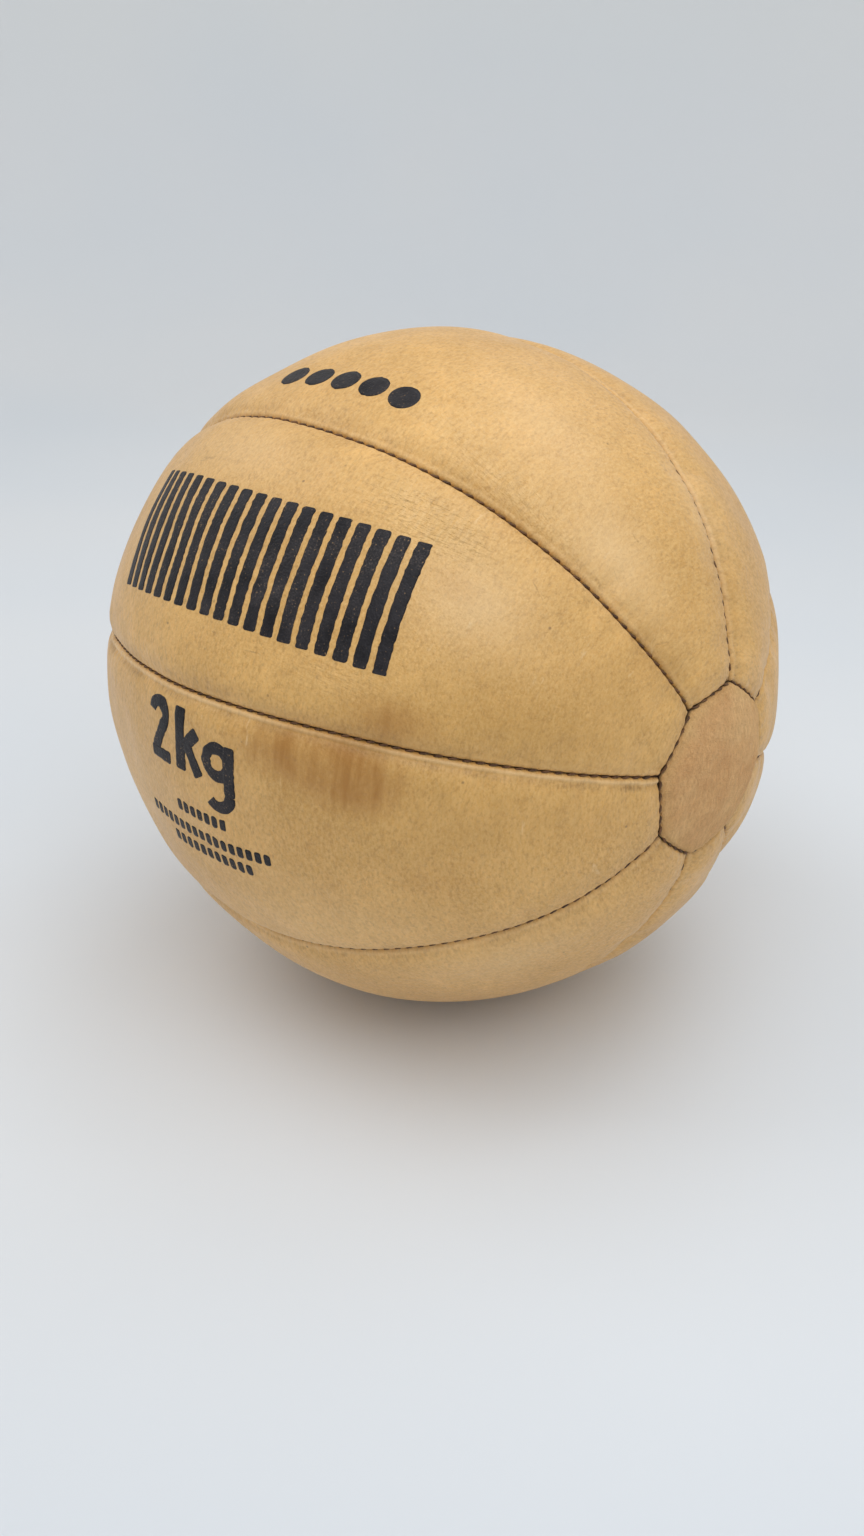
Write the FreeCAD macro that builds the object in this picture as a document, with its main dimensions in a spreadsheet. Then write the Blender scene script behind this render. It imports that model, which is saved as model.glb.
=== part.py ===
import FreeCAD, Part
import os
from math import asin, cos, hypot, pi, radians, sin

import Sketcher
from FreeCAD import Placement, Rotation, Vector

# A stuffed leather medicine ball. Eight leather gores run from pole to pole and an octagonal
# cap closes each pole. Each edge is turned in and sewn to its neighbour, right sides together,
# so the stitches lie in a groove. The leather is backed with canvas and packed with hair.
# The origin is on the floor under the ball's centre, +Z is up and the poles lie along X.

PANELS = 8
POLE_AXIS = Vector(1, 0, 0)
UPRIGHT = Vector(0, 0, 1)
HALF = "180 / sizes.panel_count"  # half of the angle that a gore covers, as a formula

SIZES = [
    ("ball_radius", 135.0, "outside of the leather"),
    ("rest_sag", 3.0, "height lost where the ball settles on its foot"),
    ("panel_count", PANELS, "gores round the ball, and sides of an end cap"),
    ("roll_angle", 7.5, "turn of the gores about the pole axis, degrees"),
    ("leather", 2.2, "thickness of the leather"),
    ("lining", 0.8, "thickness of the canvas"),
    ("clearance", 0.1, "room left between layers that lie on each other"),
    ("allowance", 6.0, "depth of a turned-in edge below the leather"),
    ("edge_round", 1.6, "rounding of the leather as it turns into a seam"),
    ("cap_flat", 30.5, "pole axis to a side of the end cap"),
    ("stitch_radius", 131.4, "centre of the ball to the line of stitches"),
    ("stitch_count", 77, "stitches in a seam between two gores"),
    ("stitch_step", 1.93, "degrees from stitch to stitch along that seam"),
    ("cap_stitch_count", 5, "stitches in one side of an end cap"),
    ("cap_stitch_step", 2.03, "degrees from stitch to stitch along that side"),
    ("cap_rail_angle", 9.4, "degrees of thread on the outer face of that side"),
    ("awl_hole", 1.2, "width of a stitch hole"),
    ("thread", 1.0, "thickness of the sewing thread"),
    ("closing_thread", 1.3, "thickness of the hand-sewn thread"),
    ("closing_count", 11, "stitches that close the filling hole by hand"),
]

FOOT_HEIGHT = "sizes.ball_radius - sizes.rest_sag"  # centre of the ball to the floor
LEATHER_INSIDE = "sizes.ball_radius - sizes.leather"
SEAM_BOTTOM = "sizes.ball_radius - sizes.leather - sizes.allowance"
LINING_OUTSIDE = "sizes.ball_radius - sizes.leather - sizes.clearance"
LINING_INSIDE = LINING_OUTSIDE + " - sizes.lining"
FILLING_OUTSIDE = LINING_INSIDE + " - sizes.clearance"
SLOT_WIDTH = "2 * (sizes.leather + sizes.closing_thread + 2 * sizes.clearance)"
RAIL_OFFSET = "sizes.leather + sizes.thread / 2"  # seam plane to the middle of a thread
CAP_SIDE_HALF = "sizes.cap_flat * tan(" + HALF + ")"  # half the length of a side of a cap

doc = FreeCAD.newDocument("medicine_ball")
sheet = doc.addObject("Spreadsheet::Sheet", "sizes")
for row, (alias, number, meaning) in enumerate(SIZES, start=1):
    sheet.set(f"A{row}", meaning)
    sheet.set(f"B{row}", str(number))
    sheet.setAlias(f"B{row}", alias)
doc.recompute()


def value(formula):
    """The number that a formula on the sheet gives now."""
    return float(sheet.evalExpression(formula))


def chord(radius):
    """Formula: the radius at which a sphere of this radius meets the plane of a cap's side."""
    return f"sqrt(({radius}) * ({radius}) - sizes.cap_flat * sizes.cap_flat)"


# Bodies and sketches


def origin_part(body, role):
    return next(part for part in body.Origin.OriginFeatures if part.Role == role)


def new_body(label):
    body = doc.addObject("PartDesign::Body", label)
    body.Label = label
    return body


def new_piece(label, turn, flip=False, master=None):
    """A body at the ball's centre, turned about the pole axis, its poles swapped if flipped.

    It starts as a copy of the master body, where one is given.
    """
    body = new_body(label)
    rotation = Rotation(POLE_AXIS, turn)
    if flip:
        rotation = rotation * Rotation(UPRIGHT, 180)
    body.Placement = Placement(Vector(0, 0, value(FOOT_HEIGHT)), rotation)
    body.setExpression(".Placement.Base.z", FOOT_HEIGHT)
    if master:
        body.BaseFeature = master
        doc.recompute()
    return body


def new_sketch(body, plane, tilt=0.0, lift="0"):
    """A sketch on an origin plane, tilted about its own X axis and then lifted off the centre."""
    sketch = body.newObject("Sketcher::SketchObject", body.Label + "_sketch")
    sketch.AttachmentSupport = (origin_part(body, plane), [""])
    sketch.MapMode = "FlatFace"
    rise = value(lift)
    base = Vector(0, -sin(radians(tilt)) * rise, cos(radians(tilt)) * rise)
    sketch.AttachmentOffset = Placement(base, Rotation(POLE_AXIS, tilt))
    sketch.setExpression(".AttachmentOffset.Base.y", f"-sin({tilt}) * ({lift})")
    sketch.setExpression(".AttachmentOffset.Base.z", f"cos({tilt}) * ({lift})")
    return sketch


def dimension(sketch, kind, places, formula):
    """A sketch dimension whose value follows a formula on the sheet."""
    index = sketch.addConstraint(Sketcher.Constraint(kind, *places, value(formula)))
    sketch.setExpression(f"Constraints[{index}]", formula)


def draw_circle(sketch, diameter, across="0", up="0"):
    """A circle by its diameter and the place of its centre."""
    centre = Vector(value(across), value(up), 0)
    circle = sketch.addGeometry(Part.Circle(centre, UPRIGHT, value(diameter) / 2))
    dimension(sketch, "Diameter", (circle,), diameter)
    dimension(sketch, "DistanceX", (-1, 1, circle, 3), across)
    dimension(sketch, "DistanceY", (-1, 1, circle, 3), up)


def draw_ring_part(sketch, outer, inner, spans, levels):
    """Two arcs about the centre joined by two level lines, at the two heights in levels."""
    arcs = []
    for radius, (start, end) in zip((outer, inner), spans):
        circle = Part.Circle(Vector(), UPRIGHT, value(radius))
        arc = sketch.addGeometry(Part.ArcOfCircle(circle, start, end))
        sketch.addConstraint(Sketcher.Constraint("Coincident", arc, 3, -1, 1))
        dimension(sketch, "Radius", (arc,), radius)
        arcs.append(arc)
    for point, level in zip((1, 2), levels):
        ends = []
        for arc in arcs:
            geometry = sketch.Geometry[arc]
            ends.append(geometry.StartPoint if point == 1 else geometry.EndPoint)
        line = sketch.addGeometry(Part.LineSegment(*ends))
        for arc, line_end in zip(arcs, (1, 2)):
            sketch.addConstraint(Sketcher.Constraint("Coincident", arc, point, line, line_end))
        sketch.addConstraint(Sketcher.Constraint("Horizontal", line))
        dimension(sketch, "DistanceY", (-1, 1, line, 1), level)


def draw_band(sketch, outer, inner, floor):
    """The ring between two radii, kept where it is above the floor line."""
    starts = [asin(value(floor) / value(radius)) for radius in (outer, inner)]
    spans = [(start, pi - start) for start in starts]
    draw_ring_part(sketch, outer, inner, spans, (floor, floor))


def draw_window(sketch, outer, inner, low, high, far_side=False):
    """The ring between two radii, kept between two level lines on one side of the centre."""
    spans = []
    for radius in (outer, inner):
        below = asin(value(low) / value(radius))
        above = asin(value(high) / value(radius))
        spans.append((pi - above, pi - below) if far_side else (below, above))
    levels = (high, low) if far_side else (low, high)
    draw_ring_part(sketch, outer, inner, spans, levels)


# Features


def finish(body, feature, **formulas):
    for name, formula in formulas.items():
        feature.setExpression(name, formula)
    body.Tip = feature
    doc.recompute()
    return feature


def pad(body, sketch, length, reverse=False, middle=False):
    feature = body.newObject("PartDesign::Pad", body.Label + "_pad")
    feature.Profile = sketch
    feature.Reversed = reverse
    feature.Midplane = middle
    return finish(body, feature, Length=length)


def pocket(body, sketch, depth=None, reverse=False, middle=False):
    """A pocket of the given depth, or through everything, which has to remove something."""
    before = body.Shape.Volume
    feature = body.newObject("PartDesign::Pocket", body.Label + "_pocket")
    feature.Profile = sketch
    feature.Reversed = reverse
    feature.Midplane = middle
    if depth is None:
        feature.Type = "ThroughAll"
        finish(body, feature)
    else:
        finish(body, feature, Length=depth)
    if not body.Shape.Volume < before:
        raise RuntimeError(f"{feature.Label} of {body.Label} cuts nothing")
    return feature


def revolve(body, sketch, axis, angle):
    """The sketch turned about one of its own axes, half of the angle to each side."""
    feature = body.newObject("PartDesign::Revolution", body.Label + "_revolution")
    feature.Profile = sketch
    feature.ReferenceAxis = (sketch, [axis])
    feature.Midplane = True
    return finish(body, feature, Angle=angle)


def polar(body, originals, axis, count, angle):
    feature = body.newObject("PartDesign::PolarPattern", body.Label + "_pattern")
    feature.Originals = originals
    feature.Axis = axis
    return finish(body, feature, Occurrences=count, Angle=angle)


def round_the_poles(body, originals):
    """Repeat features once for each side of the end caps."""
    axis = (origin_part(body, "X_Axis"), [""])
    return polar(body, originals, axis, "sizes.panel_count", "360")


def both_patterns(body, original, sketch, count, angle):
    """Repeat a feature about its sketch's normal, and that row round the poles."""
    multi = body.newObject("PartDesign::MultiTransform", body.Label + "_multi")
    multi.Originals = [original]
    row = body.newObject("PartDesign::PolarPattern", body.Label + "_row")
    row.Axis = (sketch, ["N_Axis"])
    row.setExpression("Occurrences", count)
    row.setExpression("Angle", angle)
    ring = body.newObject("PartDesign::PolarPattern", body.Label + "_ring")
    ring.Axis = (origin_part(body, "X_Axis"), [""])
    ring.setExpression("Occurrences", "sizes.panel_count")
    ring.Angle = 360
    multi.Transformations = [row, ring]
    return finish(body, multi)


def round_outer_edges(body, smallest_reach):
    """Round the edges that lie on the outside of the ball, this far or more from the pole axis."""
    radius = value("sizes.ball_radius")
    sharp = body.Tip
    names = []
    for number, edge in enumerate(sharp.Shape.Edges, start=1):
        points = [] if edge.Degenerated else edge.discretize(3)
        on_outside = [abs(point.Length - radius) < 0.01 for point in points]
        far_out = [hypot(point.y, point.z) > smallest_reach for point in points]
        if points and all(on_outside) and all(far_out):
            names.append(f"Edge{number}")
    feature = body.newObject("PartDesign::Fillet", body.Label + "_rounding")
    feature.Base = (sharp, names)
    return finish(body, feature, Radius="sizes.edge_round")


def flatten_foot(body, tilt, face, skin=None, inner=None):
    """Cut the ball off at the foot, and close a skin of this thickness across the cut."""
    doc.recompute()
    cut = new_sketch(body, "XY_Plane", tilt, face)
    draw_circle(cut, "2 * sizes.ball_radius")
    pocket(body, cut, reverse=True)
    if skin:
        reach = f"sqrt(({inner}) * ({inner}) - ({face} - {skin}) * ({face} - {skin}))"
        sole = new_sketch(body, "XY_Plane", tilt, face)
        draw_circle(sole, f"2 * {reach}")
        pad(body, sole, skin, reverse=True)


# The leather


def row_angle(count, step):
    return f"({count} - 1) * {step}"


def row_start(count, step):
    """Formula: half of the angle that a row of stitches covers."""
    return f"({row_angle(count, step)}) / 2"


SEAM_ANGLE = row_angle("sizes.stitch_count", "sizes.stitch_step")
SEAM_START = "90 - " + row_start("sizes.stitch_count", "sizes.stitch_step")
CAP_ROW_ANGLE = row_angle("sizes.cap_stitch_count", "sizes.cap_stitch_step")
CAP_ROW_START = row_start("sizes.cap_stitch_count", "sizes.cap_stitch_step")


def draw_seam_hole(sketch, diameter, start=SEAM_START):
    reach = "sizes.stitch_radius"
    draw_circle(sketch, diameter, f"{reach} * cos({start})", f"{reach} * sin({start})")


def draw_cap_holes(sketch, diameter, poles):
    """The first hole of a cap's side at the near pole, and at the far pole too if poles is 2."""
    reach = chord("sizes.stitch_radius")
    along, across = f"{reach} * cos({CAP_ROW_START})", f"{reach} * sin({CAP_ROW_START})"
    draw_circle(sketch, diameter, along, f"-({across})")
    if poles == 2:
        draw_circle(sketch, diameter, f"-({along})", across)


def draw_cap_edge(sketch, far_side=False):
    """The turned-in edge along one side of an end cap."""
    outer = chord("sizes.ball_radius - sizes.leather / 2")
    low, high = f"-({CAP_SIDE_HALF})", CAP_SIDE_HALF
    draw_window(sketch, outer, chord(SEAM_BOTTOM), low, high, far_side)


def build_gore(body):
    """A gore about +Z: outer shell, turned-in edges on all four sides, and their stitch holes."""
    half_angle = value(HALF)
    shell = new_sketch(body, "XZ_Plane")
    draw_band(shell, "sizes.ball_radius", LEATHER_INSIDE, "0.9 * sizes.cap_flat")
    revolve(body, shell, "H_Axis", "360 / sizes.panel_count")
    for side in (1, -1):
        edge = new_sketch(body, "XZ_Plane", side * half_angle)
        draw_band(edge, "sizes.ball_radius - sizes.leather / 2", SEAM_BOTTOM, "sizes.cap_flat")
        pad(body, edge, "sizes.leather", reverse=side > 0)
    trim = new_sketch(body, "XY_Plane", lift="sizes.cap_flat")
    draw_circle(trim, "2.1 * sizes.ball_radius")
    pocket(body, trim)
    end_edges = new_sketch(body, "XY_Plane", lift="sizes.cap_flat")
    draw_cap_edge(end_edges)
    draw_cap_edge(end_edges, far_side=True)
    pad(body, end_edges, "sizes.leather")
    round_outer_edges(body, smallest_reach=0)
    for side in (1, -1):
        hole = new_sketch(body, "XZ_Plane", side * half_angle)
        draw_seam_hole(hole, "sizes.awl_hole")
        first = pocket(body, hole, "1.2 * sizes.leather", reverse=side < 0)
        polar(body, [first], (hole, ["N_Axis"]), "sizes.stitch_count", SEAM_ANGLE)
    end_holes = new_sketch(body, "XY_Plane", lift="sizes.cap_flat")
    draw_cap_holes(end_holes, "sizes.awl_hole", poles=2)
    first = pocket(body, end_holes, "1.2 * sizes.leather", reverse=True)
    polar(body, [first], (end_holes, ["N_Axis"]), "sizes.cap_stitch_count", CAP_ROW_ANGLE)


def build_dome(body, outer, inner, flat):
    """The part of a hollow sphere at the +X pole, inside an octagon with this flat distance."""
    dome = new_sketch(body, "XZ_Plane")
    draw_window(dome, outer, inner, "0", "1.2 * sizes.cap_flat")
    revolve(body, dome, "H_Axis", "360")
    side = new_sketch(body, "XY_Plane", lift=flat)
    draw_circle(side, "2.1 * sizes.ball_radius")
    first = pocket(body, side, reverse=True)
    round_the_poles(body, [first])


def build_cap(body):
    """The end cap at +X: a dome with eight turned-in edges and their stitch holes."""
    build_dome(body, "sizes.ball_radius", LEATHER_INSIDE, "sizes.cap_flat")
    edge = new_sketch(body, "XY_Plane", lift="sizes.cap_flat")
    draw_cap_edge(edge)
    first = pad(body, edge, "sizes.leather", reverse=True)
    round_the_poles(body, [first])
    round_outer_edges(body, smallest_reach=value("0.99 * sizes.cap_flat"))
    hole = new_sketch(body, "XY_Plane", lift="sizes.cap_flat")
    draw_cap_holes(hole, "sizes.awl_hole", poles=1)
    first = pocket(body, hole, "1.2 * sizes.leather")
    both_patterns(body, first, hole, "sizes.cap_stitch_count", CAP_ROW_ANGLE)


# The canvas and the hair


def build_gore_lining(body):
    """The canvas behind a gore, between its turned-in edges."""
    shell = new_sketch(body, "XZ_Plane")
    draw_band(shell, LINING_OUTSIDE, LINING_INSIDE, "0.9 * sizes.cap_flat")
    revolve(body, shell, "H_Axis", "360 / sizes.panel_count")
    for side in (1, -1):
        edge = new_sketch(body, "XZ_Plane", side * value(HALF))
        draw_circle(edge, "2.1 * sizes.ball_radius")
        pocket(body, edge, "sizes.leather + sizes.clearance", reverse=side < 0)
    trim = new_sketch(body, "XY_Plane", lift="sizes.cap_flat + sizes.leather + sizes.clearance")
    draw_circle(trim, "2.1 * sizes.ball_radius")
    pocket(body, trim)


def build_filling(body, foot_tilt):
    """The packed hair: a ball with a flat foot, and slots where the turned-in edges reach in."""
    disc = new_sketch(body, "XZ_Plane")
    draw_band(disc, FILLING_OUTSIDE, "0.02 * sizes.ball_radius", "0")
    revolve(body, disc, "H_Axis", "360")
    slot = new_sketch(body, "XZ_Plane", value(HALF))
    slot_bottom = SEAM_BOTTOM + " - 3 * sizes.clearance"
    draw_band(slot, "sizes.ball_radius", slot_bottom, "sizes.cap_flat")
    first = pocket(body, slot, SLOT_WIDTH, middle=True)
    round_the_poles(body, [first])
    cap_slot = new_sketch(body, "XY_Plane", lift="sizes.cap_flat")
    half_length = f"{CAP_SIDE_HALF} + ({SLOT_WIDTH}) / 2"
    for far_side in (False, True):
        outer, inner = chord("sizes.ball_radius"), chord(slot_bottom)
        draw_window(cap_slot, outer, inner, f"-({half_length})", half_length, far_side)
    first = pocket(body, cap_slot, SLOT_WIDTH, middle=True)
    round_the_poles(body, [first])
    flatten_foot(body, foot_tilt, f"({FOOT_HEIGHT} - sizes.leather - sizes.lining"
                 " - 2 * sizes.clearance)")


# The sewing


def build_ladder(body, first_hole, count, thickness, stride=1):
    """Stitches across a seam in the XZ plane, with a thread along each face of its edges.

    The holes are counted from the +X end, and a stitch spans as many of them as the stride.
    """
    first_angle = f"{SEAM_START} + {first_hole} * sizes.stitch_step"
    covered = f"({count} - 1) * {stride} * sizes.stitch_step"
    offset = f"sizes.leather + {thickness} / 2"
    rung = new_sketch(body, "XZ_Plane")
    draw_seam_hole(rung, f"min(0.85 * {thickness}; 0.9 * sizes.awl_hole)", first_angle)
    first = pad(body, rung, f"2 * ({offset})", middle=True)
    middle_tilt = value(f"90 - ({first_angle}) - ({covered}) / 2")
    rails = new_sketch(body, "YZ_Plane", middle_tilt)
    for side in ("", "-"):
        draw_circle(rails, thickness, f"{side}({offset})", "sizes.stitch_radius")
    revolve(body, rails, "H_Axis", covered)
    polar(body, [first], (rung, ["N_Axis"]), count, covered)


def build_cap_thread(body):
    """A closed thread round the inside of an end cap, sewn to a short one in each gore."""
    rung = new_sketch(body, "XY_Plane", lift="sizes.cap_flat")
    draw_cap_holes(rung, "0.85 * sizes.thread", poles=1)
    first = pad(body, rung, f"2 * ({RAIL_OFFSET})", middle=True)
    reach = chord("sizes.stitch_radius")
    corner = f"asin((sizes.cap_flat - {RAIL_OFFSET} + sizes.thread / 4) * tan({HALF}) / {reach})"
    rails = []
    for side, angle in (("-", f"2 * {corner}"), ("+", "sizes.cap_rail_angle")):
        rail = new_sketch(body, "XZ_Plane")
        draw_circle(rail, "sizes.thread", reach, f"sizes.cap_flat {side} ({RAIL_OFFSET})")
        rails.append(revolve(body, rail, "V_Axis", angle))
    round_the_poles(body, [first] + rails)
    both_patterns(body, first, rung, "sizes.cap_stitch_count", CAP_ROW_ANGLE)


# The assembly

GORE_STEP = 360 / PANELS
CAP_TURN = value("sizes.roll_angle")
LOWEST_GORE = CAP_TURN + 180  # turn of the gore that holds the foot
CLOSING_SEAM = 6  # the seam that is closed by hand, on the upper side away from the front

gore_master = new_body("gore_master")
build_gore(gore_master)
lining_master = new_body("lining_master")
build_gore_lining(lining_master)
thread_master = new_body("thread_master")
build_ladder(thread_master, "0", "sizes.stitch_count", "sizes.thread")


def make_gore(number, turn):
    """A gore and its canvas. The first one is the lowest, and has the foot."""
    panel = new_piece(f"panel_{number}", turn, master=gore_master)
    lining = new_piece(f"lining_{number}", turn, master=lining_master)
    if number == 1:
        foot_tilt = 180 - turn
        lining_face = f"({FOOT_HEIGHT} - sizes.leather - sizes.clearance)"
        flatten_foot(panel, foot_tilt, f"({FOOT_HEIGHT})", "sizes.leather", LEATHER_INSIDE)
        flatten_foot(lining, foot_tilt, lining_face, "sizes.lining", LINING_INSIDE)
    return [panel, lining]


def make_closed_seam(label, turn):
    """A seam sewn from both ends, and the hand stitches across the filling hole between them."""
    seam = new_piece(label, turn)
    seam.AllowCompound = True
    side_count = "(sizes.stitch_count - 2 * sizes.closing_count - 1) / 2"
    far_start = "(sizes.stitch_count + 2 * sizes.closing_count + 1) / 2"
    for start in ("0", far_start):
        build_ladder(seam, start, side_count, "sizes.thread")
    closing = new_piece("closing_thread", turn)
    first_stitch = "((sizes.stitch_count + 1) / 2 - sizes.closing_count)"
    build_ladder(closing, first_stitch, "sizes.closing_count", "sizes.closing_thread", stride=2)
    return [seam, closing]


def make_end(name, flip):
    """An end cap, its canvas and the thread that holds it."""
    cap = new_piece(f"end_cap_{name}", CAP_TURN, flip)
    build_cap(cap)
    lining = new_piece(f"cap_lining_{name}", CAP_TURN, flip)
    lining_flat = "(sizes.cap_flat - sizes.leather - sizes.clearance)"
    build_dome(lining, LINING_OUTSIDE, LINING_INSIDE, lining_flat)
    thread = new_piece(f"cap_thread_{name}", CAP_TURN, flip)
    build_cap_thread(thread)
    return [cap, lining, thread]


pieces = []
for number in range(1, PANELS + 1):
    turn = LOWEST_GORE - (number - 1) * GORE_STEP
    seam_turn = turn - GORE_STEP / 2
    pieces += make_gore(number, turn)
    if number == CLOSING_SEAM:
        pieces += make_closed_seam(f"seam_thread_{number}", seam_turn)
    else:
        pieces.append(new_piece(f"seam_thread_{number}", seam_turn, master=thread_master))
pieces += make_end("right", flip=False)
pieces += make_end("left", flip=True)
filling = new_piece("hair_filling", CAP_TURN)
build_filling(filling, 180 - CAP_TURN)
pieces.append(filling)

doc.recompute()
for item in doc.Objects:
    if "Invalid" in item.State or "Error" in item.State:
        raise RuntimeError(f"{item.Label} failed: {item.State}")
for piece in pieces:
    if piece.Shape.isNull() or not piece.Shape.isValid():
        raise RuntimeError(f"{piece.Label} has no valid shape")

os.makedirs("parts", exist_ok=True)
for piece in pieces:
    piece.Shape.exportStep(f"parts/{piece.Label}.step")
    print(f"{piece.Label}: {len(piece.Shape.Solids)} solid(s), {piece.Shape.Volume:.0f} mm3")
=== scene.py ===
from math import cos, pi, radians, sin, sqrt

import bmesh
import bpy
import numpy as np
from mathutils import Euler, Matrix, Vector


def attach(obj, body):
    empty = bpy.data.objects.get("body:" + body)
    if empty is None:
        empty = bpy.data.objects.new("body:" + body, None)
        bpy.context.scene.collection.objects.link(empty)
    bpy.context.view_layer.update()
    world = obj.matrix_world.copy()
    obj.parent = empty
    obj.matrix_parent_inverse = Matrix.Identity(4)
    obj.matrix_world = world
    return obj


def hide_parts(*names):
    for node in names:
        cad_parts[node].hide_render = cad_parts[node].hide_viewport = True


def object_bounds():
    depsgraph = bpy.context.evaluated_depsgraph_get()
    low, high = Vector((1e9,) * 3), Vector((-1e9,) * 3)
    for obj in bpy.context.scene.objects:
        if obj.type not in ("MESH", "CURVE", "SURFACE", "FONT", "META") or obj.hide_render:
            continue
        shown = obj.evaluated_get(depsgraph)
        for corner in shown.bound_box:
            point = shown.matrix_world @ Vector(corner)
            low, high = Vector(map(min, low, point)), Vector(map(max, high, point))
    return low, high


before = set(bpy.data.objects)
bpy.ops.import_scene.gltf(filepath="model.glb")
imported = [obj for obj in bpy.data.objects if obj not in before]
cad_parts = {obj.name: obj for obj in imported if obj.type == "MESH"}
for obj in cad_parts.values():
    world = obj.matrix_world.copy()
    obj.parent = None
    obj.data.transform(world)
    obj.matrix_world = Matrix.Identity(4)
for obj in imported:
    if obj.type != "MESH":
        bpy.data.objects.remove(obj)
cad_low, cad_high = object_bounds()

# A stuffed leather medicine ball: eight gores round a level pole axis, and an octagonal cap at
# each pole. A place on the ball is given by two angles. The turn goes round the pole axis, from
# straight up towards the front, and the polar angle goes from the right pole to the left one.
# Lengths are in millimetres until a mesh is made.

MM = 0.001
WAVE = 2 * pi
RADIUS = (cad_high[0] - cad_low[0]) / 2 / MM  # of the CAD ball, to the outside of its leather
CENTRE_HEIGHT = cad_high[2] / MM - RADIUS
PANELS = 8
GORE = WAVE / PANELS
ROLL = radians(7.5)  # turn of the gores from upright
LOWEST = pi + ROLL  # turn of the middle of panel_1
CAP_FLAT = 30.5  # pole axis to a side of an octagonal cap
CAP_BOW = 0.9  # how far a side of a cap bows out in its middle
CAP_CROWN = 1.8  # how far the middle of a cap stands out

THICKNESS = 2.2  # of the leather
SKIVED = 1.3  # of the leather where it is pared for a seam
CANVAS = 0.75
FLANGE = 4.6  # depth of a turned-in edge
STITCHES = 77  # along one seam
STITCH_STEP = radians(1.93)
CAP_STITCHES = 5  # along one side of a cap
CAP_PITCH = 4.66
CLOSING_SEAM = 6
CLOSING_STITCHES = 11  # hand stitches, two machine steps apart


def directions(turn, polar):
    """Unit vectors from the ball's centre."""
    across = np.sin(polar)
    return np.stack([np.cos(polar), -across * np.sin(turn), across * np.cos(turn)], axis=-1)


def ripples(points, wavelength, seed, count=14):
    """A smooth random field of about unit size: waves of about this length, every way."""
    draw = np.random.default_rng(seed)
    ways = draw.normal(size=(count, points.shape[-1]))
    ways /= np.linalg.norm(ways, axis=1)[:, None]
    lengths = wavelength * draw.uniform(0.7, 1.4, count)
    starts = draw.uniform(0, WAVE, count)
    total = np.zeros(points.shape[:-1])
    for way, length, start in zip(ways, lengths, starts):
        total += np.sin(points @ (way * WAVE / length) + start)
    return total * sqrt(2 / count)


def bell(distance, width):
    return np.exp(-((distance / width) ** 2))


def angle_between(normals, turn, polar):
    """Degrees from each direction to the one at this turn and polar angle, given in degrees."""
    middle = directions(np.array(radians(turn)), np.array(radians(polar)))
    return np.degrees(np.arccos(np.clip(normals @ middle, -1, 1)))


def from_side_middle(turn):
    """Turn from the middle of the nearest side of a cap."""
    return np.mod(turn - ROLL + GORE / 2, GORE) - GORE / 2


def cap_reach(turn):
    """Pole axis to the border of a cap, at this turn."""
    from_middle = from_side_middle(turn)
    return CAP_FLAT / np.cos(from_middle) + CAP_BOW * (1 - (from_middle / (GORE / 2)) ** 2)


def grid_faces(rows, columns, start=0, ring=False):
    """Quads over a grid of points. A ring's last column joins its first."""
    last = columns if ring else columns - 1
    row, column = np.meshgrid(np.arange(rows - 1), np.arange(last), indexing="ij")
    after = (column + 1) % columns
    corners = [row * columns + column, row * columns + after,
               (row + 1) * columns + after, (row + 1) * columns + column]
    return (start + np.stack(corners, axis=-1).reshape(-1, 4)).tolist()


def fan_faces(first, columns, tip):
    """Triangles from a ring of points to one more point."""
    return [(first + i, first + (i + 1) % columns, tip) for i in range(columns)]


def ball_faces(rows, columns):
    """Faces over rings of points from pole to pole, which the two poles follow."""
    count = rows * columns
    quads = grid_faces(rows, columns, ring=True)
    return quads + fan_faces(0, columns, count) + fan_faces(count - columns, columns, count + 1)


def rim_faces(rows, columns, second):
    """Quads that join the borders of two equal grids, whose points follow one another."""
    top = np.arange(columns)
    right = np.arange(1, rows) * columns + columns - 1
    bottom = (rows - 1) * columns + np.arange(columns - 2, -1, -1)
    left = np.arange(rows - 2, 0, -1) * columns
    rim = np.concatenate([top, right, bottom, left])
    after = np.roll(rim, -1)
    return np.stack([rim, after, after + second, rim + second], axis=-1).tolist()


def make_mesh(name, points, faces):
    """A smooth piece whose faces look out."""
    mesh = bpy.data.meshes.new(name)
    mesh.from_pydata(points.tolist(), [], faces)
    work = bmesh.new()
    work.from_mesh(mesh)
    bmesh.ops.recalc_face_normals(work, faces=work.faces)
    work.to_mesh(mesh)
    work.free()
    mesh.shade_smooth()
    piece = bpy.data.objects.new(name, mesh)
    bpy.context.collection.objects.link(piece)
    return piece


# The stuffed cover, by cloth simulation

SIM_ROUND = 16 * PANELS  # vertices round the ball
SIM_ROWS = 72  # steps from pole to pole
SIM_FRAMES = 20
SIM_SLACK = 0.011  # how much larger than the ball the leather is cut
SIM_FIRST_SEAM = LOWEST - GORE / 2
CLOTH = dict(  # a light, stiff skin that is held at its seams
    quality=6, mass=0.02, tension_stiffness=80, compression_stiffness=80, shear_stiffness=30,
    bending_stiffness=5, vertex_group_mass="sewn", shrink_min=-SIM_SLACK, use_pressure=True,
    uniform_pressure_force=200)
PUFF_LIMIT = 2.5  # how far the stuffing may push the cover off the CAD ball
FIRM_REACH = 45  # from a cap, over which the tightly sewn cover stands out less
FIRM_SHARE = 0.45  # of the full shape, beside a cap


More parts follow.
